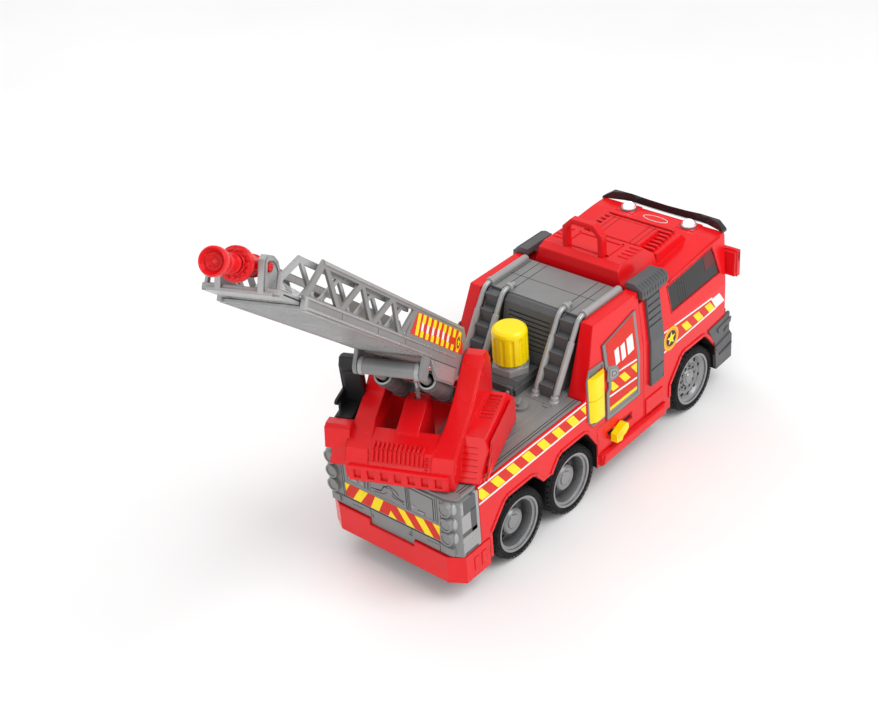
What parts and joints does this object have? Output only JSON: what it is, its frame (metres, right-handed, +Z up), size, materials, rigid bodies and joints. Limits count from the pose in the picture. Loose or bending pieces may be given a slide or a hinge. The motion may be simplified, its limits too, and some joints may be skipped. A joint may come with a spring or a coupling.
{
  "type": "toy fire engine",
  "caption": "Toy fire engine with a turning turret, a ladder that raises and extends, a tilting water nozzle, a spring-loaded pump knob and free-running wheels.",
  "frame": {"origin": "on the ground under the middle of the truck, halfway between its bumpers and its sides", "axes": "+X towards the cab, +Y to the truck's left, +Z up"},
  "size_m": [0.643, 0.2018, 0.439],
  "materials": {
    "red_plastic": "glossy moulded red",
    "black_plastic": "satin moulded black",
    "dark_grey_plastic": "satin moulded charcoal",
    "visor_plastic": "dark tinted",
    "glazing": "glossy charcoal",
    "grey_plastic": "satin moulded mid grey",
    "silver_plastic": "silver painted",
    "rim_plastic": "silver grey moulded",
    "lamp_plastic": "pale lamp lens",
    "clear_lens": "clear lamp lens",
    "yellow_plastic": "bright yellow moulded",
    "white_plastic": "translucent white moulded",
    "clear_hose": "clear flexible tube",
    "spring_steel": "bright steel",
    "battery_can": "steel can",
    "green_board": "green laminate",
    "tyre_rubber": "matt black tyre"
  },
  "bodies": {
    "truck": {"chassis_pan": "black_plastic", "body_shell": "red_plastic", "cab_shell": "red_plastic", "cab_glazing": "glazing", "sun_visor": "visor_plastic", "roof_lamp_left": "clear_lens", "roof_lamp_right": "clear_lens", "mirror_left": "red_plastic", "mirror_right": "red_plastic", "front_bumper": "dark_grey_plastic", "headlamps": "lamp_plastic", "stack_left": "dark_grey_plastic", "stack_right": "dark_grey_plastic", "door_left": "grey_plastic", "door_right": "grey_plastic", "canisters_left": "yellow_plastic", "canisters_right": "yellow_plastic", "deck_plate": "grey_plastic", "stair_tower": "dark_grey_plastic", "handrails_left": "silver_plastic", "handrails_right": "silver_plastic", "pump_housing": "dark_grey_plastic", "pump_collar": "silver_plastic", "pump_cylinder": "white_plastic", "pump_spring": "spring_steel", "water_tank": "white_plastic", "tank_cap": "grey_plastic", "feed_hose": "clear_hose", "ladder_rest": "red_plastic", "rear_panel": "grey_plastic", "rear_bumper": "red_plastic", "battery_cover": "black_plastic", "batteries": "battery_can", "circuit_board": "green_board", "speaker": "black_plastic", "screws": "spring_steel"},
    "lever": {"side_lever": "yellow_plastic"},
    "pump": {"pump_knob": "yellow_plastic", "pump_piston": "white_plastic"},
    "wheels_front": {"axle_front": "spring_steel", "tyres_front": "tyre_rubber", "rims_front": "rim_plastic"},
    "wheels_middle": {"axle_middle": "spring_steel", "tyres_middle": "tyre_rubber", "rims_middle": "rim_plastic"},
    "wheels_rear": {"axle_rear": "spring_steel", "tyres_rear": "tyre_rubber", "rims_rear": "rim_plastic"},
    "turret": {"turret_base": "red_plastic", "operator_seat": "black_plastic", "turret_lock_ring": "black_plastic", "turret_hose": "clear_hose"},
    "cylinders": {"lift_cylinders": "dark_grey_plastic"},
    "rods": {"lift_rods": "grey_plastic"},
    "ladder": {"ladder_frame": "grey_plastic", "ladder_pin": "spring_steel"},
    "extension": {"inner_ladder": "silver_plastic", "nozzle_hose": "clear_hose"},
    "nozzle": {"water_nozzle": "red_plastic", "nozzle_pins": "red_plastic"}
  },
  "joints": [
    {"name": "front_wheels_spin", "type": "hinge", "parent": "truck", "child": "wheels_front", "pos_m": [0.1313, 0, 0.032], "axis": [0, 1, 0], "continuous": true},
    {"name": "middle_wheels_spin", "type": "hinge", "parent": "truck", "child": "wheels_middle", "pos_m": [-0.0579, 0, 0.032], "axis": [0, 1, 0], "continuous": true},
    {"name": "rear_wheels_spin", "type": "hinge", "parent": "truck", "child": "wheels_rear", "pos_m": [-0.13, 0, 0.032], "axis": [0, 1, 0], "continuous": true},
    {"name": "turret_yaw", "type": "hinge", "parent": "truck", "child": "turret", "pos_m": [-0.166, 0, 0.1035], "axis": [0, 0, 1], "range_deg": [-202.8, 157.2]},
    {"name": "ladder_lift", "type": "hinge", "parent": "turret", "child": "ladder", "pos_m": [-0.12636, 0.01666, 0.157], "axis": [-0.3875, 0.9219, 0], "range_deg": [-26, 12], "deforming": ["turret_hose"]},
    {"name": "cylinder_tilt", "type": "hinge", "parent": "turret", "child": "cylinders", "pos_m": [-0.14756, 0.00775, 0.145], "axis": [-0.3875, 0.9219, 0], "range_deg": [-31, 15]},
    {"name": "rod_tilt", "type": "hinge", "parent": "ladder", "child": "rods", "pos_m": [-0.20941, -0.01825, 0.20972], "axis": [-0.3875, 0.9219, 0], "range_deg": [-5, 3]},
    {"name": "ladder_extend", "type": "slide", "parent": "ladder", "child": "extension", "axis": [-0.7205, -0.3029, 0.6239], "range_m": [-0.1, 0.03]},
    {"name": "nozzle_tilt", "type": "hinge", "parent": "extension", "child": "nozzle", "pos_m": [-0.39453, -0.09607, 0.4097], "axis": [-0.3875, 0.9219, 0], "range_deg": [-4, 20]},
    {"name": "pump_press", "type": "slide", "parent": "truck", "child": "pump", "axis": [0, 0, 1], "range_m": [0, 0.012], "stiffness_N_per_m": 150, "springref_m": 0.014, "deforming": ["pump_spring"]},
    {"name": "lever_slide", "type": "slide", "parent": "truck", "child": "lever", "axis": [1, 0, 0], "range_m": [-0.004, 0.01]}
  ],
  "couplings": [
    {"joint": "cylinder_tilt", "follows": "ladder_lift", "ratio": 1.125},
    {"joint": "rod_tilt", "follows": "ladder_lift", "ratio": 0.125}
  ]
}
